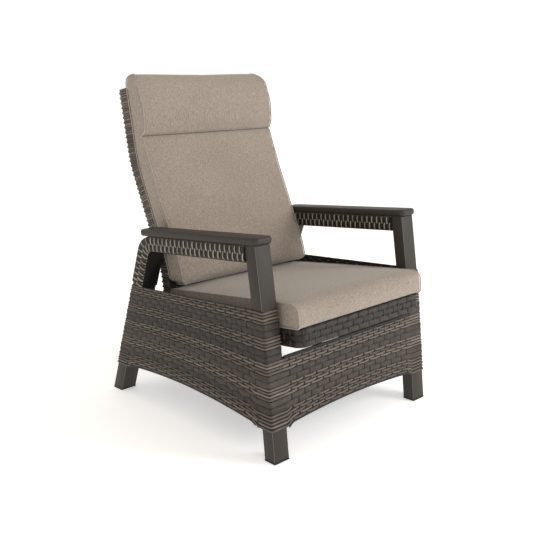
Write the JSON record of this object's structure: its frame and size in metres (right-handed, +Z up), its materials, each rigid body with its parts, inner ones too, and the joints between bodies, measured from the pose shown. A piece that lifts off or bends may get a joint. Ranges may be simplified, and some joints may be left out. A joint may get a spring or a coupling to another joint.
{
  "type": "reclining garden armchair",
  "caption": "High-back woven wicker garden armchair with loose cushions, a tilting back on a gas spring and a seat that glides forward with it.",
  "frame": {"origin": "middle of the overall box at floor level, with the back upright", "axes": "+Z up along the height, which is the longest side; +X across the chair between the arms, the shortest side; -Y is the front of the seat"},
  "size_m": [0.714, 0.8244, 1.052],
  "materials": {
    "coated_aluminium": "umber-grey powder coat, satin",
    "resin_wicker": "woven half-round and flat resin strands, brown-grey with lighter streaks",
    "cushion_fabric": "taupe melange woven outdoor fabric",
    "moulded_plastic": "black moulded nylon",
    "plated_steel": "zinc plated",
    "black_enamel": "black gas spring cylinder, semi-gloss"
  },
  "bodies": {
    "base": {"front_post_left": "coated_aluminium", "front_post_right": "coated_aluminium", "rear_leg_left": "coated_aluminium", "rear_leg_right": "coated_aluminium", "arm_tube_left": "coated_aluminium", "arm_tube_right": "coated_aluminium", "arm_weave_left": "resin_wicker", "arm_weave_right": "resin_wicker", "foot_cap_front_left": "moulded_plastic", "foot_cap_front_right": "moulded_plastic", "foot_cap_rear_left": "moulded_plastic", "foot_cap_rear_right": "moulded_plastic", "armrest_left": "coated_aluminium", "armrest_right": "coated_aluminium", "side_lower_rail_left": "coated_aluminium", "side_lower_rail_right": "coated_aluminium", "side_middle_rail_left": "coated_aluminium", "side_middle_rail_right": "coated_aluminium", "side_weave_left": "resin_wicker", "side_weave_right": "resin_wicker", "glide_track_left": "moulded_plastic", "glide_track_right": "moulded_plastic", "back_pivot_bolt_left": "plated_steel", "back_pivot_bolt_right": "plated_steel", "back_pivot_washer_left": "moulded_plastic", "back_pivot_washer_right": "moulded_plastic", "front_cross_tube": "coated_aluminium", "front_lower_rail": "coated_aluminium", "rear_cross_tube": "coated_aluminium", "rear_lower_rail": "coated_aluminium", "front_weave": "resin_wicker", "rear_weave": "resin_wicker", "gas_spring_bracket": "plated_steel", "gas_spring_pin": "plated_steel", "lever_bracket": "plated_steel", "lever_pin": "plated_steel"},
    "back": {"back_weave": "resin_wicker", "back_rail_left": "coated_aluminium", "back_rail_right": "coated_aluminium", "back_top_rail": "coated_aluminium", "back_middle_rail": "coated_aluminium", "back_lower_rail": "coated_aluminium", "hinge_plate_left": "plated_steel", "hinge_plate_right": "plated_steel", "hinge_shaft": "plated_steel", "back_cushion": "cushion_fabric"},
    "seat": {"seat_weave": "resin_wicker", "seat_rail_left": "coated_aluminium", "seat_rail_right": "coated_aluminium", "seat_front_rail": "coated_aluminium", "seat_rear_rail": "coated_aluminium", "seat_hinge_arm_left": "plated_steel", "seat_hinge_arm_right": "plated_steel", "glide_pin_left": "plated_steel", "glide_pin_right": "plated_steel", "seat_cushion": "cushion_fabric"},
    "gas_cylinder": {"gas_spring_cylinder": "black_enamel"},
    "gas_rod": {"gas_spring_rod": "plated_steel"},
    "lever": {"release_lever": "moulded_plastic"}
  },
  "joints": [
    {"name": "back_recline", "type": "hinge", "parent": "base", "child": "back", "pos_m": [0, 0.21035, 0.472], "axis": [-1, 0, 0], "range_deg": [0, 25]},
    {"name": "seat_hinge", "type": "hinge", "parent": "back", "child": "seat", "pos_m": [0, 0.19735, 0.264], "axis": [-1, 0, 0], "range_deg": [-23, 0]},
    {"name": "gas_spring_tilt", "type": "hinge", "parent": "base", "child": "gas_cylinder", "pos_m": [0, -0.28265, 0.222], "axis": [1, 0, 0], "range_deg": [0, 4.06]},
    {"name": "gas_spring_stroke", "type": "slide", "parent": "gas_cylinder", "child": "gas_rod", "axis": [0, 0.9962, 0.0872], "range_m": [-0.08428, 0]},
    {"name": "lever_lift", "type": "hinge", "parent": "base", "child": "lever", "pos_m": [0.18, -0.30565, 0.272], "axis": [-1, 0, 0], "range_deg": [0, 12], "stiffness_Nm_per_rad": 0.4, "springref_deg": -5.73}
  ],
  "couplings": [
    {"joint": "seat_hinge", "follows": "back_recline", "ratio": -0.92},
    {"joint": "gas_spring_tilt", "follows": "back_recline", "ratio": 0.16249},
    {"joint": "gas_spring_stroke", "follows": "back_recline", "m_per_rad": -0.19313}
  ]
}
